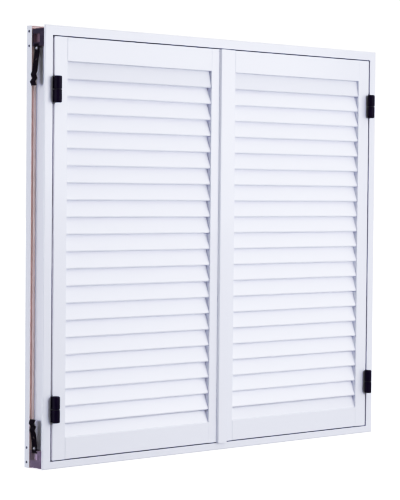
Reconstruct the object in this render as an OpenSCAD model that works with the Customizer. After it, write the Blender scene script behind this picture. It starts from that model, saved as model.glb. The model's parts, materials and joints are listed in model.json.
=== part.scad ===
// Louvred shutters: two outward-opening leaves with fixed slats, in their own outer frame.
// X runs along the width, -Y is the outside, Z is up, and Z = 0 is the underside of the sill.
// Sections are drawn with u from the frame's outer edge inwards and v from the outside face backwards.

/* [Frame] */
// Overall width of the frame
frame_w = 1102; // [900:1:1600]
// Overall height of the frame
frame_h = 1000; // [700:10:1600]
// Depth of the frame from its outside face to its back
frame_depth = 67; // [56:1:90]
// Width of the outside face of the head and the jambs
face_w = 23; // [20:0.5:30]
// Width of the sill's outside face
sill_face_w = 17.5; // [16:0.5:20]
// Thickness of the front flange
flange_t = 3.5; // [3.2:0.1:6]
// Radius of the flange's outer edge
flange_r = 3; // [1:0.1:3.1]
// Depth of the channel that runs round the outer edge
channel_depth = 14; // [11:1:15]
// Thickness of the tube along the back of the frame
rear_tube_t = 18.5; // [17:0.5:20]
// How far the rear tube reaches in past the face, as the stop of the leaves
stop_reach = 15.5; // [14:0.5:20]
// Wall of the frame extrusion
frame_wall = 1.8; // [1.5:0.1:2.2]
// Width of the groove in the channel's back wall
groove_w = 4.6; // [3:0.2:5]
// Depth of that groove
groove_depth = 3.5; // [2:0.5:4]

/* [Leaves] */
// Gap between a jamb and a leaf
leaf_gap = 5; // [4.8:0.1:7]
// Gap above and below a leaf
end_gap = 2.2; // [1.5:0.1:4]
// Gap between the two leaves
meeting_gap = 5; // [4:0.5:8]
// Room behind a leaf for the stop gasket
stop_gap = 4.5; // [3:0.1:8]
// Width of a stile
stile_w = 37.5; // [32:0.5:50]
// Height of the top rail above its lip
top_rail_h = 54; // [40:1:80]
// Height of the flat part of the bottom rail
bottom_rail_h = 50.5; // [35:0.5:80]
// Wall of the leaf extrusions
leaf_wall = 1.8; // [1.5:0.1:2.5]
// Radius of the leaf's long edges
leaf_edge_r = 1.5; // [0.5:0.1:3]
// Thickness of the seal on the hinge side of a leaf
seal_t = 1.8; // [1:0.1:2.2]
// Depth of that seal
seal_depth = 8; // [4:0.5:16]

/* [Slats] */
// Height from one slat nose to the next
slat_pitch = 39; // [34:0.5:42]
// Width of a slat across its section
slat_w = 50; // [44:0.5:54]
// Thickness of a slat
slat_t = 7; // [5:0.5:8]
// Lean of a slat from the vertical, top backwards
slat_angle = 20; // [16:1:28]
// How far a slat nose lies behind the leaf's face
slat_recess = 3; // [2.5:0.5:8]
// Wall of the hollow slat
slat_wall = 1.2; // [0.8:0.1:1.5]
// How far a slat end runs into its stile
slat_seat = 8; // [4:0.5:14]
// Room around a slat in its slot
slat_clear = 0.25; // [0.1:0.05:0.4]
// Drop of the top rail's lip below the rail
lip_drop = 37; // [30:0.5:50]
// Lean of that lip from the vertical
lip_angle = 10; // [5:1:14]
// Least height of the bottom rail's upstand below the last slat nose
upstand_least = 20; // [12:1:30]
// How far the upstand rises behind the last slat nose
upstand_lap = 7; // [4:0.5:12]

/* [Cover strip] */
// Width of the strip over the meeting gap
strip_w = 31; // [26:0.5:40]
// Thickness of the strip
strip_t = 6; // [4:0.5:9]
// How far the strip laps over the left leaf
strip_lap = 12.5; // [8:0.5:16]
// Width of the bevel on the strip's left edge
strip_bevel = 3; // [2:0.5:8]
// How far the strip runs below the leaf
strip_tail = 2.8; // [0:0.1:4.5]

/* [Hinges] */
// Diameter of the hinge barrel
barrel_d = 18; // [16:0.5:20]
// Height of the whole barrel
hinge_h = 60; // [54:1:90]
// Distance of the hinge axis in front of the face
hinge_out = 11; // [10.6:0.1:14]
// Shift of the hinge axis from the middle of the gap towards the leaf
hinge_shift = 3.7; // [3:0.1:4.5]
// Middle of the upper hinges below the frame's top
hinge_top = 144; // [110:1:250]
// Middle of the lower hinges above the frame's underside
hinge_low = 136; // [110:1:250]
// Diameter of the hinge pin
pin_d = 8; // [6:0.5:9]
// Thickness of a hinge plate
plate_t = 2.2; // [1.9:0.1:2.3]
// Depth of a hinge plate behind the face
plate_depth = 24; // [20:1:34]
// Thickness of the washer between the knuckles
washer_t = 1.2; // [0.8:0.1:2]
// How far the washer lies inside the barrel's outside
washer_inset = 2.5; // [1:0.1:3]
// Diameter of the hinge screws
screw_d = 4; // [3:0.5:5]

/* [Corner hardware] */
// Length of each leg of an upper corner cleat
cleat_leg = 47; // [42:1:80]
// Length of each leg of a lower corner cleat
low_leg = 41; // [41:1:80]
// Distance of the cleat's side face inside the frame's outer edge
cleat_inset = 2.5; // [2:0.5:6]
// Distance of an upper cleat below the top of the frame
cleat_top = 8; // [2:0.5:9]
// Distance of a lower cleat above the underside of the frame
cleat_low = 2; // [2:0.5:9]
// Height of the pocket in a cleat
cleat_pocket = 20; // [12:1:21]
// Width of the nibs with which a cleat bears on the back of the flange
nib_w = 4.5; // [3:0.5:6]
// Depth of a nib behind the flange
nib_depth = 4.5; // [2:0.5:6]
// Length of each leg of the key inside the rear tube
key_leg = 70; // [60:1:100]
// Width of a building-in strap
tie_w = 17; // [12:1:24]
// Thickness of the strap
tie_t = 2; // [1.5:0.1:3]
// Length of the strap's flat foot
tie_foot = 18.5; // [16:0.5:24]
// Distance of the foot inside the frame's outer edge
tie_inset = 3; // [2.6:0.1:5]
// Straight length of the tail of an upper strap
tie_top = 44; // [24:1:60]
// Straight length of the tail of a lower strap
tie_low = 26; // [24:1:60]
// Height of a wave in the tail's end
tie_wave = 2.5; // [1:0.1:4]
// Length of half a wave
tie_step = 8; // [5:0.5:12]
// Lean of the tail out of the channel
tie_angle = 8; // [3:1:12]

/* [Closing hardware] */
// Diameter of a shoot bolt
bolt_d = 8; // [6:0.5:9]
// Throw of a shoot bolt
bolt_throw = 18; // [14:1:20]
// Length of a bolt housing
bolt_case_h = 60; // [50:1:80]
// Length of the latch's lever
lever_len = 85; // [60:1:120]
// Length of the latch's tongue
tongue_len = 38; // [34:1:44]

/* [Hidden] */
$fn = 48;
run_clear = 0.05;
seat_clear = 0.15;
face_clear = 0.3;
hole_clear = 0.2;
over = 1;
edge_r = 1;
flat_step = 0.1;

y_face = -(frame_depth - hinge_out - barrel_d / 2) / 2;
rear_v = frame_depth - rear_tube_t;
stop_u = face_w + stop_reach;
leaf_u = face_w + leaf_gap;
leaf_t = rear_v - stop_gap;
leaf_w = (frame_w - 2 * leaf_u - meeting_gap) / 2;
leaf_x0 = -frame_w / 2 + leaf_u;
leaf_z0 = sill_face_w + end_gap;
leaf_z1 = frame_h - face_w - end_gap;
leaf_h = leaf_z1 - leaf_z0;
rail_x0 = leaf_x0 + stile_w;
rail_len = leaf_w - 2 * stile_w;

nose_v = slat_recess + slat_t / 2;
top_rail_z = leaf_z1 - top_rail_h;
lip_nose_z = top_rail_z - lip_drop;
rail_top_z = leaf_z0 + bottom_rail_h;
slat_n = floor((lip_nose_z - rail_top_z - upstand_least) / slat_pitch);
slat_axis = slat_w - slat_t;
upstand_z = lip_nose_z - slat_n * slat_pitch + upstand_lap;
function nose_z(i) = lip_nose_z - i * slat_pitch;
function toward(a, b, t) = a + (b - a) * t / norm(b - a);

hinge_x = -frame_w / 2 + face_w + leaf_gap / 2 + hinge_shift;
hinge_y = y_face - hinge_out;
hinge_zs = [hinge_low, frame_h - hinge_top];
knuckle_h = (hinge_h - washer_t) / 2;
knuckle_r = 3;
pin_floor = 4;
plate_root = 3;
plate_screw_v = 14;
plate_screw_z = 8;
screw_head_d = 7;
screw_head_t = 1.3;
frame_screw_len = 7.6;
leaf_screw_len = 11;

gasket_u0 = leaf_u + 2;
gasket_u1 = stop_u - 2.5;

key_gap = 0.8;
key_w = 15;
key_u0 = groove_w + 2 * frame_wall + key_gap;
key_u1 = key_u0 + key_w;
key_screw_w = [13, 46];
key_screw_d = 3.5;
key_screw_head_d = 6;
key_screw_v = frame_depth - rear_tube_t / 2;

pocket_wall = 2;
pocket_v = 22;
pocket_w = 19;

tie_back = 6;
tie_v = rear_v - tie_w / 2 - tie_back;
tie_lap = 5.5;
tie_bends = 4;
tie_hole_s = 17;
tie_hole_d = 5;
rivet_up = 5;
rivet_d = 4;
rivet_head_d = 7.5;
rivet_head_t = 1.6;
rivet_top_d = 4.5;
rivet_collar_d = 8;
rivet_tail = 0.8;

function corner_leg(top) = top ? cleat_leg : low_leg;
function tie_start(top) = corner_leg(top) - tie_lap;

seal_gap = 2;

bolt_x = -meeting_gap / 2 - stile_w / 2;
bolt_v = rear_v + frame_wall + bolt_d / 2 + 1.2;
bolt_case_w = 16;
bolt_case_r = 2;
bolt_cover = 2.5;
bolt_case_v = bolt_v + bolt_d / 2 + bolt_cover;
bolt_plate_w = 24;
bolt_plate_t = 2;
bolt_plate_r = 3;
bolt_ear = 9;
bolt_knob_d = 6;
bolt_reach = 2;
bolt_end_gap = 4;
bolt_top_z = frame_h - stop_u - bolt_end_gap;
bolt_low_z = stop_u + bolt_end_gap;
keeper_clear = 1.5;

latch_x = -bolt_x;
latch_z = frame_h / 2;
latch_plate_t = 3;
latch_plate_w = 24;
latch_plate_h = 80;
latch_plate_r = 8;
latch_boss_v = rear_v + 1.5;
latch_boss_d = 15.4;
tongue_t = 4.5;
tongue_r = 7;
lever_t = 4;
lever_r = 6;
lever_knob_d = 16;
lever_knob_t = 6;
spindle_d = 8;
hub_d = 22;
hub_t = 9;
keep_w = 22;
keep_h = 50;
keep_pad_h = 26;
keep_r = 3;

white = "#f1f2f8";
black = "#17121d";
dark = "#3b3244";
steel = "#9a9aa2";
grey = "#55555c";

// Drawn at the left and, for the right, mirrored about the middle plane
module on_side(right) {
    if (right) mirror([1, 0, 0]) children();
    else children();
}

// Drawn at the bottom left corner of the frame, in u, v and height
module at_corner(right, top) {
    on_side(right)
        if (top) translate([-frame_w / 2, y_face, frame_h]) mirror([0, 0, 1]) children();
        else translate([-frame_w / 2, y_face, 0]) children();
}

// A section in v and Z, run along X
module along_x(length) {
    rotate([90, 0, 90]) linear_extrude(length) children();
}

// A flat outline in X and Z, run backwards along Y
module along_y(length) {
    translate([0, length, 0]) rotate([90, 0, 0]) linear_extrude(length) children();
}

module rounded_rect(w, h, r) {
    translate([r, 0]) square([w - 2 * r, h]);
    translate([0, r]) square([w, h - 2 * r]);
    for (x = [r, w - r], y = [r, h - r]) translate([x, y]) circle(r);
}

// A bar between two points, with round ends that stand a hair proud of its flats
module blade(a, b, r) {
    flat = r - flat_step;
    translate(a) circle(r);
    translate(b) circle(r);
    translate(a) rotate(atan2(b[1] - a[1], b[0] - a[0])) translate([0, -flat])
        square([norm(b - a), 2 * flat]);
}

// Frame

module frame_groove(grow) {
    translate([frame_wall - grow, rear_v - over])
        square([groove_w + 2 * grow, groove_depth + over + grow]);
}

// Waste outside a round at the origin's corner
module corner_waste(r) {
    difference() {
        translate([-over, -over]) square(r + over);
        translate([r, r]) circle(r);
    }
}

module flange_outline(face) {
    difference() {
        square([face, flange_t]);
        corner_waste(flange_r);
        translate([face, 0]) mirror([1, 0]) corner_waste(edge_r);
    }
}

// Section of a bar; the web of the sill is a single wall, that of the other bars is hollow
module frame_section(face, hollow) {
    difference() {
        union() {
            flange_outline(face);
            translate([channel_depth, flange_t / 2])
                square([face - channel_depth, rear_v - flange_t / 2 + over]);
            translate([0, rear_v]) rounded_rect(stop_u, rear_tube_t, edge_r);
        }
        if (hollow) translate([channel_depth + frame_wall, flange_t])
            square([face - channel_depth - 2 * frame_wall, rear_v - flange_t]);
        difference() {
            translate([frame_wall, rear_v + frame_wall])
                square([stop_u - 2 * frame_wall, rear_tube_t - 2 * frame_wall]);
            frame_groove(frame_wall);
        }
        frame_groove(0);
    }
}

// A frame bar in u, v and length with a mitre at each end; where the next bar's face is narrower, the front
// part runs on square to it
module mitred_bar(length, face, low_face, high_face, hollow) {
    low = min(low_face, face);
    high = min(high_face, face);
    front = concat(
        [[0, 0], [low, low]],
        low < face ? [[face, low]] : [],
        high < face ? [[face, length - high]] : [],
        [[high, length - high], [0, length]]
    );
    intersection() {
        linear_extrude(length) frame_section(face, hollow);
        union() {
            along_y(rear_v) polygon(front);
            translate([0, rear_v, 0]) along_y(rear_tube_t)
                polygon([[0, 0], [stop_u, stop_u], [stop_u, length - stop_u], [0, length]]);
        }
    }
}

module key_screw_holes() {
    for (w = key_screw_w) translate([0, key_screw_v, w]) rotate([0, 90, 0]) {
        translate([0, 0, -over]) cylinder(d = key_screw_d + hole_clear, h = key_u1 + over);
        translate([0, 0, -over]) cylinder(d = key_screw_head_d + hole_clear, h = screw_head_t + over);
    }
}

module rivet_hole(top) {
    translate([tie_inset - over, tie_v, corner_leg(top) + rivet_up]) rotate([0, 90, 0])
        cylinder(d = rivet_d + hole_clear, h = channel_depth + frame_wall - tie_inset + 2 * over);
}

module jamb(right) {
    color(white) difference() {
        on_side(right) translate([-frame_w / 2, y_face, 0])
            mitred_bar(frame_h, face_w, sill_face_w, face_w, true);
        for (top = [false, true]) at_corner(right, top) {
            key_screw_holes();
            rivet_hole(top);
        }
        for (z = hinge_zs) on_side(right) frame_screw_places(z)
            translate([0, 0, -over]) cylinder(d = screw_d + hole_clear, h = frame_screw_len + over);
    }
}

module keeper_hole(z) {
    translate([bolt_x, y_face + bolt_v, z]) cylinder(d = bolt_d + keeper_clear, h = frame_wall + 2 * over);
}

module head_bar() {
    color(white) difference() {
        translate([-frame_w / 2, y_face, frame_h]) rotate([0, 90, 0])
            mitred_bar(frame_w, face_w, face_w, face_w, true);
        keeper_hole(frame_h - stop_u - over);
    }
}

module sill_bar() {
    color(white) difference() {
        translate([-frame_w / 2, y_face, 0]) mirror([0, 0, 1]) rotate([0, 90, 0])
            mitred_bar(frame_w, sill_face_w, face_w, face_w, false);
        keeper_hole(stop_u - frame_wall - over);
    }
}

// An L in u and height with legs of one length
module corner_outline(outer_u, outer_w, inner, leg) {
    polygon([[outer_u, outer_w], [leg, outer_w], [leg, inner], [inner, inner], [inner, leg], [outer_u, leg]]);
}

// Block that fills the channel round a corner, with a pocket in each leg, a seat for the strap and two nibs
module corner_cleat(right, top) {
    cleat_v = flange_t + seat_clear;
    cleat_d = rear_v - flange_t - 2 * seat_clear;
    cleat_end = top ? cleat_top : cleat_low;
    leg = corner_leg(top);
    pocket_d = rear_v - seat_clear - pocket_wall - pocket_v;
    side_depth = channel_depth - cleat_inset - pocket_wall;
    end_depth = channel_depth - cleat_end - pocket_wall;
    seat_depth = tie_inset + tie_t + seat_clear - cleat_inset;
    color(dark) at_corner(right, top) difference() {
        union() {
            translate([0, cleat_v, 0]) along_y(cleat_d)
                corner_outline(cleat_inset, cleat_end, channel_depth, leg);
            for (w = [channel_depth - nib_w, leg - nib_w]) translate([face_clear, cleat_v, w])
                cube([cleat_inset - face_clear + over, nib_depth, nib_w]);
        }
        translate([cleat_inset - over, pocket_v, pocket_w]) cube([side_depth + over, pocket_d, cleat_pocket]);
        translate([pocket_w, pocket_v, cleat_end - over]) cube([cleat_pocket, pocket_d, end_depth + over]);
        translate([cleat_inset - over, tie_v - tie_w / 2 - seat_clear, tie_start(top) - seat_clear])
            cube([seat_depth + over, tie_w + 2 * seat_clear, tie_lap + 2 * over]);
    }
}

// Key inside the rear tube that holds a mitre together
module corner_key(right, top) {
    key_v = rear_v + frame_wall + seat_clear;
    color(steel) at_corner(right, top) difference() {
        translate([0, key_v, 0]) along_y(rear_tube_t - 2 * frame_wall - 2 * seat_clear)
            corner_outline(key_u0, key_u0, key_u1, key_leg);
        key_screw_holes();
    }
}

module corner_screws() {
    color(grey) for (right = [false, true], top = [false, true], w = key_screw_w)
        at_corner(right, top) translate([0, key_screw_v, w]) rotate([0, 90, 0]) {
            cylinder(d = key_screw_head_d, h = screw_head_t);
            cylinder(d = key_screw_d, h = key_u1 - over);
        }
}

// Point of a strap's leaning tail in u and height: along is measured from the foot's end, off across the tail
function tie_point(along, off) = [
    off * cos(tie_angle) - along * sin(tie_angle),
    tie_foot + along * cos(tie_angle) + off * sin(tie_angle)
];

// Outer side of a strap: flat foot, straight tail, then bends to and fro
function tie_line(straight) = concat(
    [[0, 0], [0, tie_foot], tie_point(straight, 0)],
    [for (i = [1 : tie_bends]) tie_point(straight + i * tie_step, (i % 2 == 0 ? 1 : -1) * tie_wave)]
);

// Strap on a collared rivet, its foot in the seat of the cleat and its tail leaning out of the channel
module wall_tie(right, top) {
    line = tie_line(top ? tie_top : tie_low);
    last = len(line) - 1;
    back = [for (i = [0 : last]) line[last - i] + [tie_t, 0]];
    hole = tie_point(tie_hole_s, -over);
    color(black) at_corner(right, top) difference() {
        translate([tie_inset, tie_v - tie_w / 2, tie_start(top)]) along_y(tie_w) polygon(concat(line, back));
        translate([tie_inset + hole[0], tie_v, tie_start(top) + hole[1]]) rotate([0, 90 - tie_angle, 0])
            cylinder(d = tie_hole_d, h = tie_t + 2 * over);
        rivet_hole(top);
    }
}

// Rivets with a collar that holds the strap off the channel's floor
module tie_rivets() {
    color(steel) for (right = [false, true], top = [false, true]) at_corner(right, top)
        translate([tie_inset, tie_v, corner_leg(top) + rivet_up]) rotate([0, 90, 0]) {
            cylinder(d = rivet_d, h = channel_depth - tie_inset + frame_wall + rivet_tail);
            translate([0, 0, tie_t]) cylinder(d = rivet_collar_d, h = channel_depth - tie_inset - tie_t);
            translate([0, 0, -rivet_head_t]) cylinder(d1 = rivet_top_d, d2 = rivet_head_d, h = rivet_head_t);
        }
}

// Opening of the frame at a distance from its outer edges, in X and Z
module frame_opening(inset) {
    translate([inset - frame_w / 2, inset]) square([frame_w - 2 * inset, frame_h - 2 * inset]);
}

// Ring on the rear tube that the backs of the leaves close on
module stop_gasket() {
    color(grey) translate([0, y_face + leaf_t + face_clear, 0]) along_y(rear_v - leaf_t - face_clear)
        difference() {
            frame_opening(gasket_u0);
            frame_opening(gasket_u1);
        }
}

// Hinges, drawn at the left

module barrel_half(h, low_r, high_r) {
    r = barrel_d / 2;
    rotate_extrude() {
        translate([0, low_r]) square([r, h - low_r - high_r]);
        square([r - low_r, low_r]);
        translate([0, h - high_r]) square([r - high_r, high_r]);
        intersection() {
            translate([r - low_r, low_r]) circle(low_r);
            square([r, low_r]);
        }
        intersection() {
            translate([r - high_r, h - high_r]) circle(high_r);
            translate([0, h - high_r]) square([r, high_r]);
        }
    }
}

// Screw places on the frame plate: Z of the place runs outwards into the jamb
module frame_screw_places(z) {
    x = -frame_w / 2 + face_w + plate_t;
    for (s = [-1, 1]) translate([x, y_face + plate_screw_v, z - hinge_h / 4 + s * plate_screw_z])
        rotate([0, -90, 0]) children();
}

// Screw places on the leaf plate: Z of the place runs into the stile
module leaf_screw_places(z) {
    for (s = [-1, 1])
        translate([leaf_x0 - plate_t, y_face + plate_screw_v, z + hinge_h / 4 + s * plate_screw_z])
            rotate([0, 90, 0]) children();
}

module screw_room() {
    translate([0, 0, -over]) cylinder(d = screw_d + hole_clear, h = plate_t + 2 * over);
    translate([0, 0, -over]) cylinder(d = screw_head_d + hole_clear, h = screw_head_t + over);
}

module hinge_screw(length) {
    cylinder(d = screw_head_d, h = screw_head_t);
    cylinder(d = screw_d, h = length);
}

module hinge_plate(x, z, h) {
    translate([x, hinge_y + plate_root, z]) cube([plate_t, hinge_out - plate_root + plate_depth, h]);
}

// Lower half of a hinge, with the plate on the frame
module frame_knuckle(right, z) {
    color(black) on_side(right) difference() {
        union() {
            translate([hinge_x, hinge_y, z - hinge_h / 2]) barrel_half(knuckle_h, knuckle_r, edge_r);
            hinge_plate(-frame_w / 2 + face_w, z - hinge_h / 2 + edge_r, knuckle_h - 2 * edge_r);
        }
        translate([hinge_x, hinge_y, z - hinge_h / 2 + pin_floor])
            cylinder(d = pin_d + 2 * run_clear, h = hinge_h / 2);
        frame_screw_places(z) screw_room();
    }
}

// Upper half of a hinge, with the plate on the leaf
module leaf_knuckle(right, z) {
    bore_h = knuckle_h - pin_floor;
    color(black) on_side(right) difference() {
        union() {
            translate([hinge_x, hinge_y, z + washer_t / 2 + run_clear])
                barrel_half(knuckle_h - run_clear, edge_r, knuckle_r);
            hinge_plate(leaf_x0 - plate_t, z + washer_t / 2 + edge_r, knuckle_h - 2 * edge_r);
        }
        translate([hinge_x, hinge_y, z]) cylinder(d = pin_d + 2 * run_clear, h = bore_h + washer_t / 2);
        leaf_screw_places(z) screw_room();
    }
}

module hinge_pin(right, z) {
    color(steel) on_side(right) translate([hinge_x, hinge_y, z - hinge_h / 2 + pin_floor])
        cylinder(d = pin_d, h = hinge_h - 2 * pin_floor - face_clear);
}

module hinge_washer(right, z) {
    color(grey) on_side(right) translate([hinge_x, hinge_y, z - washer_t / 2]) difference() {
        cylinder(d = barrel_d - 2 * washer_inset, h = washer_t);
        translate([0, 0, -over]) cylinder(d = pin_d + 2 * run_clear, h = washer_t + 2 * over);
    }
}

module frame_hinge_screws() {
    color(grey) for (right = [false, true], z = hinge_zs)
        on_side(right) frame_screw_places(z) hinge_screw(frame_screw_len);
}

module leaf_hinge_screws(right) {
    color(grey) for (z = hinge_zs) on_side(right) leaf_screw_places(z) hinge_screw(leaf_screw_len);
}

// Leaves, drawn at the left

module stile_section() {
    difference() {
        rounded_rect(stile_w, leaf_t, leaf_edge_r);
        translate([leaf_wall, leaf_wall]) square([stile_w - 2 * leaf_wall, leaf_t - 2 * leaf_wall]);
    }
}

// Section of a slat in v and Z, from the middle of its nose
module slat_outline(grow) {
    blade([0, 0], [slat_axis * sin(slat_angle), slat_axis * cos(slat_angle)], slat_t / 2 + grow);
}

module slat_slots(x) {
    for (i = [1 : slat_n]) translate([x - over, y_face + nose_v, nose_z(i)])
        along_x(leaf_wall + 2 * over) slat_outline(slat_clear);
}

module hinge_stile(right) {
    color(white) on_side(right) difference() {
        translate([leaf_x0, y_face, leaf_z0]) linear_extrude(leaf_h) stile_section();
        slat_slots(rail_x0 - leaf_wall);
        for (z = hinge_zs) leaf_screw_places(z) cylinder(d = screw_d + hole_clear, h = leaf_screw_len);
    }
}

module meeting_stile(right) {
    color(white) on_side(right) difference() {
        translate([rail_x0 + rail_len, y_face, leaf_z0]) linear_extrude(leaf_h) stile_section();
        slat_slots(rail_x0 + rail_len);
    }
}

// Seal on the side of the hinge stile, left out at the hinges
module edge_seal(right) {
    half = hinge_h / 2 + seal_gap;
    ends = [
        leaf_z0 + seal_gap, hinge_zs[0] - half,
        hinge_zs[0] + half, hinge_zs[1] - half,
        hinge_zs[1] + half, leaf_z1 - seal_gap
    ];
    color(grey) on_side(right) for (i = [0 : 2 : 4])
        translate([leaf_x0 - seal_t, y_face + leaf_edge_r, ends[i]])
            cube([seal_t, seal_depth, ends[i + 1] - ends[i]]);
}

// Hollow tube of the top rail with a lip that repeats a slat's nose
module top_rail(right) {
    lip_a = [nose_v, lip_nose_z];
    lip_b = [nose_v + lip_drop * tan(lip_angle), top_rail_z + leaf_wall / 2];
    lip_end = norm(lip_b - lip_a) - slat_t / 2 - leaf_wall / 2;
    color(white) on_side(right) translate([rail_x0, y_face, 0]) along_x(rail_len) difference() {
        union() {
            translate([0, top_rail_z]) rounded_rect(leaf_t, top_rail_h, leaf_edge_r);
            blade(lip_a, lip_b, slat_t / 2);
        }
        translate([leaf_wall, top_rail_z + leaf_wall])
            square([leaf_t - 2 * leaf_wall, top_rail_h - 2 * leaf_wall]);
        blade(lip_a, toward(lip_a, lip_b, lip_end), slat_t / 2 - slat_wall);
    }
}

// Hollow tube of the bottom rail with a sloping upstand behind the last slat
module bottom_rail(right) {
    up_a = [nose_v, rail_top_z - leaf_wall / 2];
    up_b = [nose_v + (upstand_z - rail_top_z) * tan(slat_angle), upstand_z];
    color(white) on_side(right) translate([rail_x0, y_face, 0]) along_x(rail_len) difference() {
        union() {
            translate([0, leaf_z0]) rounded_rect(leaf_t, bottom_rail_h, leaf_edge_r);
            blade(up_a, up_b, slat_t / 2);
        }
        translate([leaf_wall, leaf_z0 + leaf_wall])
            square([leaf_t - 2 * leaf_wall, bottom_rail_h - 2 * leaf_wall]);
        blade(toward(up_a, up_b, slat_t / 2 + leaf_wall / 2), up_b, slat_t / 2 - slat_wall);
    }
}

module slats(right) {
    color(white) on_side(right) for (i = [1 : slat_n])
        translate([rail_x0 - slat_seat, y_face + nose_v, nose_z(i)])
            along_x(rail_len + 2 * slat_seat) difference() {
                slat_outline(0);
                slat_outline(-slat_wall);
            }
}

// Strip on the right leaf's face that laps over the left leaf
module cover_strip() {
    x0 = -meeting_gap / 2 - strip_lap;
    x1 = x0 + strip_w;
    own = meeting_gap / 2;
    color(white) translate([0, y_face, leaf_z0 - strip_tail]) linear_extrude(leaf_h + strip_tail)
        polygon([
            [x1, 0], [own, 0], [own, -face_clear], [x0, -face_clear], [x0, -face_clear - edge_r],
            [x0 + strip_bevel, -strip_t], [x1 - edge_r, -strip_t], [x1, -strip_t + edge_r]
        ]);
}

// Closing hardware on the backs of the meeting stiles

module bolt_room(z0) {
    translate([bolt_x, y_face + bolt_v, z0 - over])
        cylinder(d = bolt_d + 2 * run_clear, h = bolt_case_h + 2 * over);
}

// Housing of a shoot bolt, with a slot for the knob and an ear on the far side; shift is the bolt's throw
module bolt_case(z0, shift) {
    slot_w = bolt_knob_d + 2 * face_clear;
    slot_mid = z0 + bolt_case_h / 2 - shift / 2;
    plate_z = shift > 0 ? z0 - bolt_ear : z0;
    color(steel) difference() {
        union() {
            translate([bolt_x - bolt_plate_w / 2, y_face + leaf_t, plate_z])
                along_y(bolt_plate_t) rounded_rect(bolt_plate_w, bolt_case_h + bolt_ear, bolt_plate_r);
            translate([bolt_x - bolt_case_w / 2, y_face + leaf_t, z0])
                linear_extrude(bolt_case_h) rounded_rect(bolt_case_w, bolt_case_v - leaf_t, bolt_case_r);
        }
        bolt_room(z0);
        translate([bolt_x, y_face + bolt_v, 0]) along_y(bolt_case_v)
            blade([0, slot_mid], [0, slot_mid + shift], slot_w / 2);
    }
}

// Round bolt with its knob, drawn back
module shoot_bolt(z0, shift) {
    knob_z = z0 + bolt_case_h / 2 - shift / 2;
    reach = bolt_reach * sign(shift);
    color(grey) {
        translate([bolt_x, y_face + bolt_v, z0 + reach]) cylinder(d = bolt_d, h = bolt_case_h);
        translate([bolt_x, y_face + bolt_v, knob_z]) rotate([-90, 0, 0])
            cylinder(d = bolt_knob_d, h = frame_depth - bolt_v - edge_r);
    }
}

module latch_base() {
    color(steel) translate([latch_x, y_face + leaf_t, latch_z]) {
        translate([-latch_plate_w / 2, 0, -latch_plate_h / 2]) along_y(latch_plate_t)
            rounded_rect(latch_plate_w, latch_plate_h, latch_plate_r);
        rotate([-90, 0, 0]) {
            cylinder(d = latch_boss_d, h = latch_boss_v - leaf_t);
            cylinder(d = spindle_d, h = latch_boss_v + hub_t - leaf_t);
        }
    }
}

// Lever above the spindle and tongue below it; a quarter turn brings the tongue behind the left leaf
module latch_handle() {
    lever_end = lever_len - lever_r;
    color(grey) translate([latch_x, y_face + latch_boss_v + seat_clear, latch_z]) difference() {
        union() {
            rotate([-90, 0, 0]) cylinder(d = hub_d, h = hub_t);
            along_y(tongue_t) blade([0, 0], [0, tongue_r - tongue_len], tongue_r);
            translate([0, hub_t - lever_t, 0]) along_y(lever_t) blade([0, 0], [0, lever_end], lever_r);
            translate([0, hub_t - lever_t, lever_end]) rotate([-90, 0, 0])
                cylinder(d = lever_knob_d, h = lever_knob_t);
        }
        rotate([-90, 0, 0]) translate([0, 0, -over])
            cylinder(d = spindle_d + 2 * run_clear, h = hub_t + 2 * over);
    }
}

module latch_keep() {
    color(steel) translate([bolt_x - keep_w / 2, y_face + leaf_t, latch_z]) {
        translate([0, 0, -keep_h / 2]) along_y(bolt_plate_t) rounded_rect(keep_w, keep_h, keep_r);
        translate([0, 0, -keep_pad_h / 2]) along_y(latch_boss_v - leaf_t - face_clear + seat_clear)
            rounded_rect(keep_w, keep_pad_h, keep_r);
    }
}

head_bar();
sill_bar();
jamb(false);  // left_jamb
jamb(true);  // right_jamb
corner_cleat(false, true);  // corner_cleat_tl
corner_cleat(true, true);  // corner_cleat_tr
corner_cleat(false, false);  // corner_cleat_bl
corner_cleat(true, false);  // corner_cleat_br
corner_key(false, true);  // corner_key_tl
corner_key(true, true);  // corner_key_tr
corner_key(false, false);  // corner_key_bl
corner_key(true, false);  // corner_key_br
corner_screws();
wall_tie(false, true);  // wall_tie_tl
wall_tie(true, true);  // wall_tie_tr
wall_tie(false, false);  // wall_tie_bl
wall_tie(true, false);  // wall_tie_br
tie_rivets();
stop_gasket();
frame_knuckle(false, hinge_zs[0]);  // left_low_frame_knuckle
frame_knuckle(false, hinge_zs[1]);  // left_top_frame_knuckle
frame_knuckle(true, hinge_zs[0]);  // right_low_frame_knuckle
frame_knuckle(true, hinge_zs[1]);  // right_top_frame_knuckle
hinge_pin(false, hinge_zs[0]);  // left_low_hinge_pin
hinge_pin(false, hinge_zs[1]);  // left_top_hinge_pin
hinge_pin(true, hinge_zs[0]);  // right_low_hinge_pin
hinge_pin(true, hinge_zs[1]);  // right_top_hinge_pin
hinge_washer(false, hinge_zs[0]);  // left_low_hinge_washer
hinge_washer(false, hinge_zs[1]);  // left_top_hinge_washer
hinge_washer(true, hinge_zs[0]);  // right_low_hinge_washer
hinge_washer(true, hinge_zs[1]);  // right_top_hinge_washer
frame_hinge_screws();
hinge_stile(false);  // left_hinge_stile
meeting_stile(false);  // left_meeting_stile
top_rail(false);  // left_top_rail
bottom_rail(false);  // left_bottom_rail
slats(false);  // left_slats
leaf_knuckle(false, hinge_zs[0]);  // left_low_leaf_knuckle
leaf_knuckle(false, hinge_zs[1]);  // left_top_leaf_knuckle
leaf_hinge_screws(false);  // left_hinge_screws
edge_seal(false);  // left_edge_seal
hinge_stile(true);  // right_hinge_stile
meeting_stile(true);  // right_meeting_stile
top_rail(true);  // right_top_rail
bottom_rail(true);  // right_bottom_rail
slats(true);  // right_slats
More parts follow.
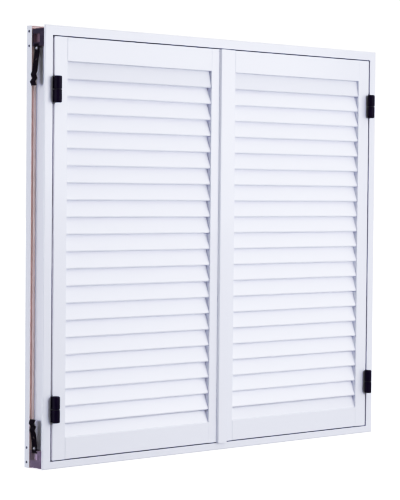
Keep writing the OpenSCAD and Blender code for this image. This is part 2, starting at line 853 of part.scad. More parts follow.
leaf_knuckle(true, hinge_zs[0]);  // right_low_leaf_knuckle
leaf_knuckle(true, hinge_zs[1]);  // right_top_leaf_knuckle
leaf_hinge_screws(true);  // right_hinge_screws
edge_seal(true);  // right_edge_seal
cover_strip();
bolt_case(bolt_top_z - bolt_case_h, bolt_throw);  // top_bolt_case
bolt_case(bolt_low_z, -bolt_throw);  // bottom_bolt_case
shoot_bolt(bolt_top_z - bolt_case_h, bolt_throw);  // top_bolt
shoot_bolt(bolt_low_z, -bolt_throw);  // bottom_bolt
latch_base();
latch_handle();
latch_keep();
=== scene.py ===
# %% [markdown]
# # Louvred shutters in a white lacquered frame
# The pair of leaves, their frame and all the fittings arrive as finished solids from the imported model, so
# their shapes are settled. This lesson gives every surface its finish, models the screws that are too fine
# for the solids, and sets up the camera, the floor and the light. Everything is in metres.

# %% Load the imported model
import json
import math

import bpy
from mathutils import Matrix, Vector


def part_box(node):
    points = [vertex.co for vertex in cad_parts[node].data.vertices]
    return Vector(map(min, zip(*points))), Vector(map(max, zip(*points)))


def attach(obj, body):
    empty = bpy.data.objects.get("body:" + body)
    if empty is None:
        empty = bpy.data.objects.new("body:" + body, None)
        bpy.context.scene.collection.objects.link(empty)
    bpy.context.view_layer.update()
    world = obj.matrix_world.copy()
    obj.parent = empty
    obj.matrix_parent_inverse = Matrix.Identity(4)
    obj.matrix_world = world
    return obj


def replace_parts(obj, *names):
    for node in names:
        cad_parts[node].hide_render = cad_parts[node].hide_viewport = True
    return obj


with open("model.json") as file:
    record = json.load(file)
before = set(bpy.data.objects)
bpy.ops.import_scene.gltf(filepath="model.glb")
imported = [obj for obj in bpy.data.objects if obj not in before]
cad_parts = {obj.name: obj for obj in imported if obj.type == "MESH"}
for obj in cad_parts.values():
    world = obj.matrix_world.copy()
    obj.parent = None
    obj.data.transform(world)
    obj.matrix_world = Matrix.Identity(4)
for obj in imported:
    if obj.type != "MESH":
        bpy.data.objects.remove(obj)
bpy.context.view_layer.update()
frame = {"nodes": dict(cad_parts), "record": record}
nodes = frame["nodes"]
bpy.ops.object.select_all(action="DESELECT")
print("nodes loaded:", len(nodes))

# %% [markdown]
# ## The camera
# The photograph looks at the shutters from the left of the outside, a little above the middle. A camera could
# be aimed at a point by a constraint, but that leaves no room for a roll. A turn, a small tilt and a slight
# roll describe the look, so the camera's own axes are worked out from these three angles. The lens follows
# from the distance in pixels between the eye and the picture, which is 500 pixels along its long side.

# %% Camera at the photograph's viewing angle
PICTURE_LONG_SIDE = 500
FOCAL_PIXELS = 1892.4
EYE = Vector((-3.1741, -3.3626, 0.6259))
EYE_TURN = math.radians(42.876)
EYE_TILT = math.radians(1.720)
EYE_ROLL = math.radians(0.515)


def eye_matrix(place, turn, tilt, roll):
    ahead = Vector((math.sin(turn), math.cos(turn), 0))
    right = Vector((math.cos(turn), -math.sin(turn), 0))
    up = Vector((0, 0, 1))
    look = ahead * math.cos(tilt) - up * math.sin(tilt)
    lift = up * math.cos(tilt) + ahead * math.sin(tilt)
    side = right * math.cos(roll) + lift * math.sin(roll)
    top = lift * math.cos(roll) - right * math.sin(roll)
    turned = Matrix((side, top, -look)).transposed().to_4x4()
    return Matrix.Translation(place) @ turned


bpy.ops.object.camera_add()
camera = bpy.context.object
camera.name = "eye"
camera.matrix_world = eye_matrix(EYE, EYE_TURN, EYE_TILT, EYE_ROLL)
camera.data.lens = camera.data.sensor_width * FOCAL_PIXELS / PICTURE_LONG_SIDE
bpy.context.scene.camera = camera
print("lens in mm:", round(camera.data.lens, 1))

# %% [markdown]
# ## The floor
# The frame stands on a plain pale floor. A small plane would show its edge in low views, so a wide disc is
# used. It glows a little, so that it stays white under the weak room light, and it is kept out of bounced and
# mirrored light, so the glow doesn't lift the undersides of the slats.

# %% Floor
FLOOR_RADIUS = 40.0
FLOOR_SIDES = 96
FLOOR_COLOUR = (0.93, 0.93, 0.93, 1)
FLOOR_GLOW = 0.62
FLOOR_ROUGHNESS = 1.0
FLOOR_GLOSS = 0.0

bpy.ops.mesh.primitive_circle_add(vertices=FLOOR_SIDES, radius=FLOOR_RADIUS, fill_type="NGON")
floor = bpy.context.object
floor.name = "floor"
floor_finish = bpy.data.materials.new("pale_floor")
floor_finish.use_nodes = True
floor_shader = floor_finish.node_tree.nodes["Principled BSDF"]
floor_shader.inputs["Base Color"].default_value = FLOOR_COLOUR
floor_shader.inputs["Roughness"].default_value = FLOOR_ROUGHNESS
floor_shader.inputs["Specular IOR Level"].default_value = FLOOR_GLOSS
floor_shader.inputs["Emission Color"].default_value = FLOOR_COLOUR
floor_shader.inputs["Emission Strength"].default_value = FLOOR_GLOW
floor.data.materials.append(floor_finish)
floor.visible_diffuse = False
floor.visible_glossy = False
bpy.ops.object.select_all(action="DESELECT")
print("floor radius:", FLOOR_RADIUS)

# %% [markdown]
# ## Tones of the picture
# Most of the object is white beside a few black fittings. A film-like view transform would turn the whites
# grey, so the plain one is used, and a tone curve deepens the dark fittings and lifts the middle tones.

# %% Tone curve
TONE_POINTS = ((0.22, 0.17), (0.45, 0.55), (0.75, 0.86))
ALL_CHANNELS = 3

scene = bpy.context.scene
scene.view_settings.view_transform = "Standard"
scene.view_settings.use_curve_mapping = True
tones = scene.view_settings.curve_mapping
for shade, shown in TONE_POINTS:
    tones.curves[ALL_CHANNELS].points.new(shade, shown)
tones.update()
print("points on the tone curve:", len(tones.curves[ALL_CHANNELS].points))

# %% [markdown]
# ## Room light
# White lacquer shows its form only where the light around it changes. An even white room would make the slats
# and the rails look alike, so this room is brighter overhead and on the right, and the narrow sides that look
# left stay in shade. Two ramps over the direction of a ray do that. What the camera sees behind the object is
# plain white instead.

# %% Room that is graded by direction
ROOM_COLOUR = (0.94, 0.955, 1.0, 1)
ROOM_BELOW, ROOM_ABOVE = 0.42, 1.42
ROOM_LEFT, ROOM_RIGHT = 0.25, 1.00

room = bpy.data.worlds.new("white_room")
scene.world = room
room.use_nodes = True
room_tree = room.node_tree
room_tree.nodes.clear()
ray_source = room_tree.nodes.new("ShaderNodeTexCoord")
direction = room_tree.nodes.new("ShaderNodeSeparateXYZ")
room_tree.links.new(ray_source.outputs["Generated"], direction.inputs[0])


def graded(axis, low, high):
    ramp = room_tree.nodes.new("ShaderNodeMapRange")
    for label, value in (("From Min", -1.0), ("From Max", 1.0), ("To Min", low), ("To Max", high)):
        ramp.inputs[label].default_value = value
    room_tree.links.new(direction.outputs[axis], ramp.inputs["Value"])
    return ramp.outputs["Result"]


level = room_tree.nodes.new("ShaderNodeMath")
level.operation = "MULTIPLY"
room_tree.links.new(graded("Z", ROOM_BELOW, ROOM_ABOVE), level.inputs[0])
room_tree.links.new(graded("X", ROOM_LEFT, ROOM_RIGHT), level.inputs[1])
room_glow = room_tree.nodes.new("ShaderNodeBackground")
room_glow.inputs["Color"].default_value = ROOM_COLOUR
room_tree.links.new(level.outputs[0], room_glow.inputs["Strength"])
print("room, darkest and brightest:", ROOM_BELOW * ROOM_LEFT, ROOM_ABOVE * ROOM_RIGHT)

# %% White background for the camera alone
BACKGROUND_COLOUR = (1, 1, 1, 1)
BACKGROUND_STRENGTH = 1.1

background = room_tree.nodes.new("ShaderNodeBackground")
background.inputs["Color"].default_value = BACKGROUND_COLOUR
background.inputs["Strength"].default_value = BACKGROUND_STRENGTH
rays = room_tree.nodes.new("ShaderNodeLightPath")
chooser = room_tree.nodes.new("ShaderNodeMixShader")
room_out = room_tree.nodes.new("ShaderNodeOutputWorld")
room_tree.links.new(rays.outputs["Is Camera Ray"], chooser.inputs["Fac"])
room_tree.links.new(room_glow.outputs["Background"], chooser.inputs[1])
room_tree.links.new(background.outputs["Background"], chooser.inputs[2])
room_tree.links.new(chooser.outputs["Shader"], room_out.inputs["Surface"])
print("room nodes:", len(room_tree.nodes))

# %% [markdown]
# ## Lamps
# One large lamp could light everything, but from above it throws deep shade under every slat. Here a wide
# lamp in front, at mid height, lights the leaves with only a short shade under each slat's nose. One far to
# the right shows as a broad sheen on the lacquer of the meeting stiles. One on the left, behind the plane of
# the face, lights the outer channel, and one lights the back.

# %% Four soft lamps
LEAVES = (0.1, 0, 0.6)
OUTER_CHANNEL = (-0.5, 0, 0.45)
MIDDLE = (0, 0, 0.5)


def soft_lamp(name, place, target, size, watts, colour):
    bpy.ops.object.light_add(type="AREA", location=place)
    lamp = bpy.context.object
    lamp.name = name
    lamp.data.shape = "DISK"
    lamp.data.size = size
    lamp.data.energy = watts
    lamp.data.color = colour
    lamp.visible_camera = False
    lamp.rotation_euler = (Vector(target) - Vector(place)).to_track_quat("-Z", "Y").to_euler()
    print(name, "watts:", watts)


soft_lamp("front_lamp", (0.42, -2.3, 0.85), LEAVES, size=1.2, watts=23.2, colour=(0.835, 0.86, 1.0))
soft_lamp("sheen_lamp", (2.75, -3.3, 1.2), LEAVES, size=1.6, watts=12, colour=(0.85, 0.87, 1.0))
soft_lamp("side_lamp", (-3.2, 0.75, 0.4), OUTER_CHANNEL, size=2.6, watts=63, colour=(0.85, 0.885, 1.0))
soft_lamp("back_lamp", (0.7, 3.0, 1.4), MIDDLE, size=1.6, watts=26, colour=(0.90, 0.92, 1.0))
bpy.ops.object.select_all(action="DESELECT")

# %% [markdown]
# ## Shared surface effects
# Several finishes need the same small effects. Each effect could be drawn again in every material, but a
# node group is built once, puts out a mask or a height, and takes its own values wherever it is placed. The
# helpers here start a group, do sums, and read noise at a place on the object.

# %% Helpers for node groups
def new_group(name, inputs, outputs):
    group = bpy.data.node_groups.new(name, "ShaderNodeTree")
    for label, default in inputs.items():
        socket = group.interface.new_socket(label, in_out="INPUT", socket_type="NodeSocketFloat")
        socket.default_value = default
    for label in outputs:
        group.interface.new_socket(label, in_out="OUTPUT", socket_type="NodeSocketFloat")
    entry = group.nodes.new("NodeGroupInput")
    leave = group.nodes.new("NodeGroupOutput")
    return group, entry, leave


def math_node(tree, operation, *values):
    node = tree.nodes.new("ShaderNodeMath")
    node.operation = operation
    for socket, value in zip(node.inputs, values):
        if isinstance(value, (int, float)):
            socket.default_value = value
        else:
            tree.links.new(value, socket)
    return node.outputs[0]


def object_place(tree):
    return tree.nodes.new("ShaderNodeTexCoord").outputs["Object"]


def noise(tree, place, scale, detail):
    node = tree.nodes.new("ShaderNodeTexNoise")
    node.inputs["Detail"].default_value = detail
    tree.links.new(place, node.inputs["Vector"])
    tree.links.new(scale, node.inputs["Scale"])
    return node.outputs["Fac"]


# %% [markdown]
# Sprayed lacquer dries with a fine ripple, called orange peel, and its tone drifts slightly over a metre.
# Both are noise, one at about 2 mm and one at about 300 mm.

# %% Group: ripple and drift of sprayed lacquer
RIPPLE_SCALE, RIPPLE_DETAIL = 520.0, 2
DRIFT_SCALE, DRIFT_DETAIL = 3.5, 3


def make_lacquer_skin():
    scales = {"Ripple Scale": RIPPLE_SCALE, "Drift Scale": DRIFT_SCALE}
    group, entry, leave = new_group("lacquer_skin", scales, ["Ripple", "Drift"])
    place = object_place(group)
    ripple = noise(group, place, entry.outputs["Ripple Scale"], RIPPLE_DETAIL)
    drift = noise(group, place, entry.outputs["Drift Scale"], DRIFT_DETAIL)
    group.links.new(ripple, leave.inputs["Ripple"])
    group.links.new(drift, leave.inputs["Drift"])
    return group


lacquer_skin = make_lacquer_skin()
print(lacquer_skin.name, "nodes:", len(lacquer_skin.nodes))

# %% [markdown]
# Coated and plated steel has a fine grain, and faint patches where hands and tools have rubbed it. The
# patches are the peaks of a coarse noise: it is steepened, and what lies below zero is cut off.

# %% Group: grain and rubbed patches of coated steel
GRAIN_SCALE, GRAIN_DETAIL = 1800.0, 3
RUB_SCALE, RUB_DETAIL = 60.0, 5
RUB_STEEPNESS, RUB_START, RUB_SOFTNESS = 4.0, -1.9, 0.2


def make_steel_skin():
    scales = {"Grain Scale": GRAIN_SCALE, "Rub Scale": RUB_SCALE}
    group, entry, leave = new_group("steel_skin", scales, ["Grain", "Rub"])
    place = object_place(group)
    grain = noise(group, place, entry.outputs["Grain Scale"], GRAIN_DETAIL)
    rub = noise(group, place, entry.outputs["Rub Scale"], RUB_DETAIL)
    steep = math_node(group, "MULTIPLY_ADD", rub, RUB_STEEPNESS, RUB_START)
    capped = math_node(group, "SMOOTH_MIN", steep, 1.0, RUB_SOFTNESS)
    group.links.new(grain, leave.inputs["Grain"])
    group.links.new(math_node(group, "MAXIMUM", capped, 0.0), leave.inputs["Rub"])
    return group


steel_skin = make_steel_skin()
print(steel_skin.name, "nodes:", len(steel_skin.nodes))

# %% [markdown]
# The outer channel of the frame has a bare, warm-toned back wall with a groove, and the groove's faces take a
# darker colour, which is painted shade. The wall's faces could be picked one by one, but the solids' meshes
# stay as they are. So a group finds the wall from the distance to the frame's outer edge and from the depth
# behind the face, and one finish serves all four bars. The same group finds the pockets of the corner cleats,
# and the lower half of the frame.

# %% Measures of the outer channel
FRAME_LOW = Vector(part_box("sill_bar")[0])
FRAME_HIGH = Vector(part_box("head_bar")[1])
MIDDLE_LEVEL = (FRAME_LOW.z + FRAME_HIGH.z) / 2
REAR_TUBE = 0.0185
WALL_Y = FRAME_HIGH.y - REAR_TUBE
CHANNEL_DEPTH = 0.014
GROOVE_DEPTH = 0.0035
POCKET_EDGE = 0.0035
SKIN = 0.0003
print("back wall of the channel at y:", round(WALL_Y, 4))


# %% Group: back wall of the outer channel
def between(tree, value, low, high):
    above = math_node(tree, "GREATER_THAN", value, low)
    below = math_node(tree, "LESS_THAN", value, high)
    return math_node(tree, "MULTIPLY", above, below)


def make_channel_wall():
    masks = ["Wall", "Groove", "Pocket", "Lower Half"]
    group, entry, leave = new_group("channel_wall", {"Pocket Edge": POCKET_EDGE}, masks)
    split = group.nodes.new("ShaderNodeSeparateXYZ")
    group.links.new(object_place(group), split.inputs[0])
    x, y, z = split.outputs
    from_side = math_node(group, "SUBTRACT", FRAME_HIGH.x, math_node(group, "ABSOLUTE", x))
    from_level = math_node(group, "ABSOLUTE", math_node(group, "SUBTRACT", z, MIDDLE_LEVEL))
    from_end = math_node(group, "SUBTRACT", FRAME_HIGH.z - MIDDLE_LEVEL, from_level)
    inset = math_node(group, "MINIMUM", from_side, from_end)
    in_channel = between(group, inset, SKIN, CHANNEL_DEPTH - SKIN)
    at_wall = between(group, y, WALL_Y - SKIN, WALL_Y + GROOVE_DEPTH + SKIN)
    past_wall = math_node(group, "GREATER_THAN", y, WALL_Y + SKIN)
    wall = math_node(group, "MULTIPLY", in_channel, at_wall)
    groove = math_node(group, "MULTIPLY", wall, past_wall)
    pocket = between(group, from_side, entry.outputs["Pocket Edge"], CHANNEL_DEPTH - SKIN)
    # mask of the lower half of the frame, where the cleats take lighter colours
    lower_half = math_node(group, "LESS_THAN", z, MIDDLE_LEVEL)
    for label, mask in zip(masks, (wall, groove, pocket, lower_half)):
        group.links.new(mask, leave.inputs[label])
    return group


channel_wall = make_channel_wall()
print(channel_wall.name, "nodes:", len(channel_wall.nodes))

# %% [markdown]
# ## Finishes
# The principled shader stays in each material, and the groups feed its colour, roughness and bump. What is
# the same all over a surface, such as a coat or a gloss, is set on the shader itself. These helpers start a
# material, place a group with its values, mix two colours by a mask, and turn a height into a bump.

# %% Helpers for materials
def begin_finish(name):
    material = bpy.data.materials.new(name)
    material.use_nodes = True
    return material, material.node_tree, material.node_tree.nodes["Principled BSDF"]


def use_group(tree, group, **values):
    node = tree.nodes.new("ShaderNodeGroup")
    node.node_tree = group
    for label, value in values.items():
        node.inputs[label.replace("_", " ")].default_value = value
    return node


def mix_colours(tree, mask, first, second):
    node = tree.nodes.new("ShaderNodeMix")
    node.data_type = "RGBA"
    tree.links.new(mask, node.inputs["Factor"])
    for label, value in (("A", first), ("B", second)):
        socket = next(s for s in node.inputs if s.name == label and s.type == "RGBA")
        if isinstance(value, tuple):
            socket.default_value = (*value, 1)
        else:
            tree.links.new(value, socket)
    return next(s for s in node.outputs if s.type == "RGBA")


def add_bump(tree, shader, height, strength, distance):
    bump = tree.nodes.new("ShaderNodeBump")
    bump.inputs["Strength"].default_value = strength
    bump.inputs["Distance"].default_value = distance
    tree.links.new(height, bump.inputs["Height"])
    tree.links.new(bump.outputs["Normal"], shader.inputs["Normal"])


# %% [markdown]
# The leaves and the frame are sprayed with a white gloss lacquer of a slightly cold tone. A plain white would
# look like plaster, so the colour and the roughness follow the drift, a thin coat gives a second, sharper
# gloss, and the ripple breaks up the reflections. The slats get a lighter copy of the lacquer, as painted
# light for the overhead light on their upward-facing faces, and the frame a slightly darker copy, as painted
# shade.
# The frame's lacquer also knows the bare wall of the channel, and paints shade into its groove.

# %% White lacquer
LACQUER_LIGHT, LACQUER_SHADE = (0.757, 0.760, 0.805), (0.733, 0.737, 0.782)
# slat tones sit above the leaf lacquer: painted light for the overhead light on the upward-facing slats
SLAT_LIGHT, SLAT_SHADE = (0.830, 0.832, 0.882), (0.807, 0.810, 0.860)
# frame tones sit below the leaf lacquer: painted shade
FRAME_LIGHT, FRAME_SHADE = (0.738, 0.742, 0.786), (0.715, 0.719, 0.763)
BARE_WALL = (0.99, 0.865, 0.805)
# darker colour of the groove faces in the channel's back wall: painted shade
GROOVE_PAINTED_SHADE = (0.95, 0.785, 0.735)
LACQUER_ROUGHNESS, ROUGHNESS_DRIFT = 0.16, 0.10
COAT_WEIGHT, COAT_ROUGHNESS = 0.3, 0.05
RIPPLE_STRENGTH, RIPPLE_HEIGHT = 0.06, 0.0004


def white_lacquer(name, light, shade, channel=False):
    material, tree, shader = begin_finish(name)
    skin = use_group(tree, lacquer_skin)
    drift = skin.outputs["Drift"]
    colour = mix_colours(tree, drift, light, shade)
    if channel:
        wall = use_group(tree, channel_wall)
        colour = mix_colours(tree, wall.outputs["Wall"], colour, BARE_WALL)
        # the groove faces take the darker colour: painted shade in the recess
        colour = mix_colours(tree, wall.outputs["Groove"], colour, GROOVE_PAINTED_SHADE)
    tree.links.new(colour, shader.inputs["Base Color"])
    roughness = math_node(tree, "MULTIPLY_ADD", drift, ROUGHNESS_DRIFT, LACQUER_ROUGHNESS)
    tree.links.new(roughness, shader.inputs["Roughness"])
    shader.inputs["Coat Weight"].default_value = COAT_WEIGHT
    shader.inputs["Coat Roughness"].default_value = COAT_ROUGHNESS
    add_bump(tree, shader, skin.outputs["Ripple"], RIPPLE_STRENGTH, RIPPLE_HEIGHT)
    print(name, "nodes:", len(tree.nodes))
    return material


leaf_lacquer = white_lacquer("leaf_lacquer", LACQUER_LIGHT, LACQUER_SHADE)
slat_lacquer_painted_light = white_lacquer("slat_lacquer_painted_light", SLAT_LIGHT, SLAT_SHADE)
frame_lacquer_painted_shade = white_lacquer("frame_lacquer_painted_shade", FRAME_LIGHT, FRAME_SHADE, channel=True)

# %% [markdown]
# The hinges and the building-in straps are black coated steel, the inside fittings are zinc plated, and the
# washers and seals are nylon and rubber. They differ in colour, gloss and grain, but all of them have a fine
# grain and rubbed patches, so one function makes them. A rubbed patch is lighter and smoother than the rest.

# %% Coated and plated steel, nylon and rubber
USUAL_GLOSS = 0.5
RUB_POLISH = 0.12
GRAIN_STRENGTH, GRAIN_HEIGHT = 0.15, 0.0002
RUBBER_GRAIN = 700.0


def rubbed_finish(name, base, worn, roughness, metallic=0.0, gloss=USUAL_GLOSS, grain=GRAIN_SCALE):
    material, tree, shader = begin_finish(name)
    skin = use_group(tree, steel_skin, Grain_Scale=grain)
    rub = skin.outputs["Rub"]
    tree.links.new(mix_colours(tree, rub, base, worn), shader.inputs["Base Color"])
    polished = math_node(tree, "MULTIPLY_ADD", rub, -RUB_POLISH, roughness)
    tree.links.new(polished, shader.inputs["Roughness"])
    shader.inputs["Metallic"].default_value = metallic
    shader.inputs["Specular IOR Level"].default_value = gloss
    add_bump(tree, shader, skin.outputs["Grain"], GRAIN_STRENGTH, GRAIN_HEIGHT)
    print(name, "nodes:", len(tree.nodes))
    return material


hinge_black = rubbed_finish(
    "hinge_black", base=(0.006, 0.002, 0.017), worn=(0.013, 0.005, 0.028), roughness=0.42, gloss=0.07
)
strap_black = rubbed_finish(
    "strap_black", base=(0.005, 0.002, 0.008), worn=(0.015, 0.008, 0.017), roughness=0.6, gloss=0.05
)
zinc_plate = rubbed_finish(
    "zinc_plate", base=(0.62, 0.62, 0.66), worn=(0.72, 0.72, 0.75), roughness=0.38, metallic=1.0
)
screw_steel = rubbed_finish(
    "screw_steel", base=(0.12, 0.12, 0.14), worn=(0.25, 0.25, 0.27), roughness=0.42, metallic=0.8
)
washer_nylon = rubbed_finish(
    "washer_nylon", base=(0.012, 0.010, 0.015), worn=(0.02, 0.018, 0.024), roughness=0.6
)
gasket_rubber = rubbed_finish(
    "gasket_rubber",
    base=(0.56, 0.54, 0.555),
    worn=(0.61, 0.59, 0.605),
    roughness=0.75,
    gloss=0.3,
    grain=RUBBER_GRAIN,
)

# %% [markdown]
# The corner cleats are moulded blocks. Their pockets show a lighter, reddish raw inside, and the two lower
# blocks are given lighter colours. Each cleat could have a material of its own, but the channel group's masks
# let one material serve all four.

# %% Moulded corner cleats
CLEAT_BLOCK, CLEAT_PATCH, CLEAT_INSIDE = (0.035, 0.020, 0.055), (0.060, 0.036, 0.080), (0.30, 0.19, 0.24)
# lighter colours given to the two lower blocks
LOWER_BLOCK, LOWER_PATCH, LOWER_INSIDE = (0.215, 0.160, 0.225), (0.30, 0.235, 0.31), (0.50, 0.42, 0.48)
CLEAT_GRAIN = 900.0
CLEAT_ROUGHNESS, CLEAT_POLISH, CLEAT_GLOSS = 0.55, 0.1, 0.3


def moulded_block(name):
    material, tree, shader = begin_finish(name)
    skin = use_group(tree, steel_skin, Grain_Scale=CLEAT_GRAIN)
    zones = use_group(tree, channel_wall, Pocket_Edge=POCKET_EDGE)
    rub, pocket = skin.outputs["Rub"], zones.outputs["Pocket"]
    clean = mix_colours(tree, pocket, mix_colours(tree, rub, CLEAT_BLOCK, CLEAT_PATCH), CLEAT_INSIDE)
    lower_colour = mix_colours(tree, pocket, mix_colours(tree, rub, LOWER_BLOCK, LOWER_PATCH), LOWER_INSIDE)
    colour = mix_colours(tree, zones.outputs["Lower Half"], clean, lower_colour)
    tree.links.new(colour, shader.inputs["Base Color"])
    polished = math_node(tree, "MULTIPLY_ADD", rub, -CLEAT_POLISH, CLEAT_ROUGHNESS)
    tree.links.new(polished, shader.inputs["Roughness"])
    shader.inputs["Specular IOR Level"].default_value = CLEAT_GLOSS
    add_bump(tree, shader, skin.outputs["Grain"], GRAIN_STRENGTH, GRAIN_HEIGHT)
    print(name, "nodes:", len(tree.nodes))
    return material


cleat_dark = moulded_block("cleat_dark")

# %% [markdown]
# ## Finishes on the solids
# Each solid could be named with its finish, but the record already gives every solid a material slot, so the
# finish follows the slot. Only two kinds of piece need their own: the four frame bars take the darker
# lacquer, which is painted shade and knows the channel's bare wall, and the slats take the lighter lacquer,
# which is painted light.

# %% Give every solid its finish
SLOT_FINISH = {
    "white_lacquer": leaf_lacquer,
    "hinge_black": hinge_black,
    "cleat_dark": cleat_dark,
    "strap_black": strap_black,
    "washer_nylon": washer_nylon,
    "gasket": gasket_rubber,
    "handle_grey": leaf_lacquer,
    "screw_dark": screw_steel,
    "zinc": zinc_plate,
}
OWN_FINISH = dict.fromkeys(("head_bar", "sill_bar", "left_jamb", "right_jamb"), frame_lacquer_painted_shade)
OWN_FINISH.update(dict.fromkeys(("left_slats", "right_slats"), slat_lacquer_painted_light))
slot_of = {row["node"]: row["material_slot"] for row in frame["record"]["subparts"]}
for solid_name, solid in nodes.items():
    for holder in solid.material_slots:
        holder.material = OWN_FINISH.get(solid_name) or SLOT_FINISH[slot_of[solid_name]]
print("solids with a finish of their own:", len(OWN_FINISH), "of", len(nodes))

# %% [markdown]
# ## Screws with a cross recess
# Small sunk screws hold the corner keys and the hinge plates. In the solids they are plain round heads. A
# recess could be painted, but on an open leaf the heads are in plain sight, so it is cut. Edges and faces are
# picked by their place or their normal, as one would click on them by hand.

# %% Helpers for picking edges and faces
FACING_DOWN = -0.9


def pick(piece, kind, wanted):
    bpy.ops.object.mode_set(mode="EDIT")
    bpy.ops.mesh.select_mode(type=kind)
    bpy.ops.mesh.select_all(action="DESELECT")
    bpy.ops.object.mode_set(mode="OBJECT")
    for part in piece.data.edges if kind == "EDGE" else piece.data.polygons:
        part.select = wanted(part)
    bpy.ops.object.mode_set(mode="EDIT")


def is_low_face(face):
    return face.normal.z < FACING_DOWN


# %% [markdown]
# The recess narrows towards its floor, as the tip of the driver does. A box with a smaller underside is taken
# away from the head. Half of the box stands above the head, so that the cut is clean at the top.

# %% Cross recess, cut by a tapered box
RECESS_DEPTH = 0.0009
RECESS_TAPER = 0.55


def cut_recess(screw, length, width):
    bpy.ops.object.select_all(action="DESELECT")
    bpy.ops.mesh.primitive_cube_add(size=1)
    cutter = bpy.context.object
    pick(cutter, "FACE", is_low_face)
    bpy.ops.transform.resize(value=(RECESS_TAPER, RECESS_TAPER, 1), center_override=(0, 0, 0))
    bpy.ops.mesh.select_all(action="SELECT")
    bpy.ops.transform.resize(value=(length, width, 2 * RECESS_DEPTH), center_override=(0, 0, 0))
    bpy.ops.object.mode_set(mode="OBJECT")
    bpy.context.view_layer.objects.active = screw
    recess = screw.modifiers.new("recess", "BOOLEAN")
    recess.operation = "DIFFERENCE"
    recess.object = cutter
    bpy.ops.object.modifier_apply(modifier=recess.name)
    bpy.data.objects.remove(cutter)


# %% [markdown]
# A screw could be a spun outline, but then the recess would need the same cuts. Here the head starts as a
# cylinder, its rim is bevelled, and the shank is drawn out of its underside by inset and extrude. The last
# step of the extrude is narrowed to a tip. Two boxes at right angles then cut the cross.

# %% One screw, the top of its head at the origin
HEAD_SIDES = 32
HEAD_THICKNESS = 0.0013
RIM_STEPS = 4
TIP = 0.0015
TIP_TAPER = 0.4
RECESS_ARM, RECESS_WIDTH = 0.62, 0.13
SMOOTH_ANGLE = math.radians(35)


def cross_screw(head, shank, length, rim):
    bpy.ops.object.select_all(action="DESELECT")
    bpy.ops.mesh.primitive_cylinder_add(
        vertices=HEAD_SIDES, radius=head / 2, depth=HEAD_THICKNESS, location=(0, 0, -HEAD_THICKNESS / 2)
    )
    screw = bpy.context.object
    bpy.ops.object.transform_apply(location=True, rotation=False, scale=False)
    corners = screw.data.vertices
    pick(screw, "EDGE", lambda edge: all(corners[i].co.z > -SKIN for i in edge.vertices))
    bpy.ops.mesh.bevel(offset=rim, segments=RIM_STEPS)
    pick(screw, "FACE", is_low_face)
    bpy.ops.mesh.inset(thickness=(head - shank) / 2)
    for step in (HEAD_THICKNESS + TIP - length, -TIP):
        bpy.ops.mesh.extrude_region_move(TRANSFORM_OT_translate={"value": (0, 0, step)})
    bpy.ops.transform.resize(value=(TIP_TAPER, TIP_TAPER, 1), center_override=(0, 0, 0))
    bpy.ops.object.mode_set(mode="OBJECT")
    cut_recess(screw, head * RECESS_ARM, head * RECESS_WIDTH)
    cut_recess(screw, head * RECESS_WIDTH, head * RECESS_ARM)
    bpy.ops.object.select_all(action="DESELECT")
    screw.select_set(True)
    bpy.ops.object.shade_smooth_by_angle(angle=SMOOTH_ANGLE)
    print("faces of one screw:", len(screw.data.polygons))
    return screw


# %% [markdown]
# Four kinds are needed. The sunk ones have a nearly sharp rim. The latch, its keep and the bolt housings are
# held by pan heads, which differ only by a rounder rim.

# %% The four kinds of screw
SUNK_RIM, PAN_RIM = 0.0003, 0.0010
FRAME_SCREW_LENGTH = 0.0076

corner_screw = cross_screw(head=0.006, shank=0.0035, length=0.023, rim=SUNK_RIM)
frame_screw = cross_screw(head=0.007, shank=0.004, length=FRAME_SCREW_LENGTH, rim=SUNK_RIM)
leaf_screw = cross_screw(head=0.007, shank=0.004, length=0.011, rim=SUNK_RIM)
pan_screw = cross_screw(head=0.006, shank=0.003, length=0.008, rim=PAN_RIM)

# %% [markdown]
# Each screw is copied to its places, with its own mesh, and the copies of one set are joined. Every copy is
# turned by another angle, as screws stop where they are tight.

# %% Copies of a screw at their places
SCREW_TURN = math.radians(37)


def screw_set(name, model, body, places, finish):
    bpy.ops.object.select_all(action="DESELECT")
    for count, (place, outward) in enumerate(places):
        copy = model.copy()
        copy.data = model.data.copy()
        scene.collection.objects.link(copy)
        facing = Vector(outward).to_track_quat("Z", "Y").to_matrix().to_4x4()
        spun = Matrix.Rotation(count * SCREW_TURN, 4, "Z")
        copy.data.transform(Matrix.Translation(place) @ facing @ spun)
        copy.select_set(True)
        bpy.context.view_layer.objects.active = copy
    bpy.ops.object.join()
    piece = bpy.context.object
    piece.name = name
    piece.data.materials.clear()
    piece.data.materials.append(finish)
    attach(piece, body)
    print(name, "copies:", len(places))
    return piece


# %% [markdown]
# The corner screws face outwards on both sides of the frame. The hinge plates of the frame and of the leaves
# face each other, so their heads look at the gap between them. All the places come from the boxes of the
# plain screws in the solids, which the new ones stand for. Each column has a lower and an upper pair.

# %% Sunk screws at the corners and the hinges
CORNER_SPACING, HINGE_SPACING = 0.033, 0.016
TO_LEFT, TO_RIGHT = -1, 1


def side_places(node, x, facing, spacing):
    low, high = (Vector(corner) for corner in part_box(node))
    radius = (high.y - low.y) / 2
    bottom, top = low.z + radius, high.z - radius
    levels = (bottom, bottom + spacing, top - spacing, top)
    return [((x, low.y + radius, z), (facing, 0, 0)) for z in levels]


def sunk_screws(name, node, model, body, columns, spacing):
    places = [row for x, facing in columns for row in side_places(node, x, facing, spacing)]
    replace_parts(screw_set(name, model, body, places, screw_steel), node)


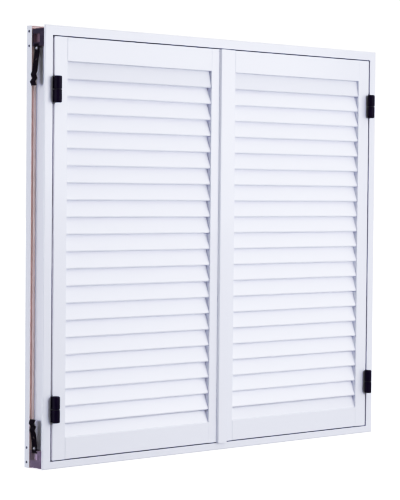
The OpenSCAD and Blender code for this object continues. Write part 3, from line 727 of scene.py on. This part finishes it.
frame_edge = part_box("corner_screws")[1][0]
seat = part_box("frame_hinge_screws")[1][0] - FRAME_SCREW_LENGTH
leaf_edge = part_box("right_hinge_screws")[1][0]
frame_edges = [(-frame_edge, TO_LEFT), (frame_edge, TO_RIGHT)]
seats = [(-seat, TO_RIGHT), (seat, TO_LEFT)]
left_edges, right_edges = [(-leaf_edge, TO_LEFT)], [(leaf_edge, TO_RIGHT)]
sunk_screws("corner_key_screws", "corner_screws", corner_screw, "frame", frame_edges, CORNER_SPACING)
sunk_screws("frame_plate_screws", "frame_hinge_screws", frame_screw, "frame", seats, HINGE_SPACING)
sunk_screws("left_plate_screws", "left_hinge_screws", leaf_screw, "left_leaf", left_edges, HINGE_SPACING)
sunk_screws("right_plate_screws", "right_hinge_screws", leaf_screw, "right_leaf", right_edges, HINGE_SPACING)

# %% [markdown]
# The pan heads stand on the plates of the fittings, on the inside of the leaves. Each place is worked out
# from the box of its fitting: on its middle line, the plate's thickness above the leaf, and a little way in
# from the upper or the lower end.

# %% Pan head screws on the latch, its keep and the bolt housings
LATCH_PLATE, LATCH_INSET = 0.003, 0.008
BOLT_PLATE, BOLT_INSET, KEEP_INSET = 0.002, 0.0045, 0.006


def back_place(node, plate, inset, at_top):
    low, high = (Vector(corner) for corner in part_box(node))
    z = high.z - inset if at_top else low.z + inset
    return ((low.x + high.x) / 2, low.y + plate + HEAD_THICKNESS, z), (0, 1, 0)


latch_places = [back_place("latch_base", LATCH_PLATE, LATCH_INSET, at_top) for at_top in (False, True)]
keep_places = [back_place("latch_keep", BOLT_PLATE, KEEP_INSET, at_top) for at_top in (False, True)]
bolt_places = [
    back_place("top_bolt_case", BOLT_PLATE, BOLT_INSET, at_top=False),
    back_place("bottom_bolt_case", BOLT_PLATE, BOLT_INSET, at_top=True),
]
screw_set("latch_base_screws", pan_screw, "right_leaf", latch_places, zinc_plate)
screw_set("keep_and_bolt_screws", pan_screw, "left_leaf", keep_places + bolt_places, zinc_plate)
for pattern in (corner_screw, frame_screw, leaf_screw, pan_screw):
    bpy.data.objects.remove(pattern)
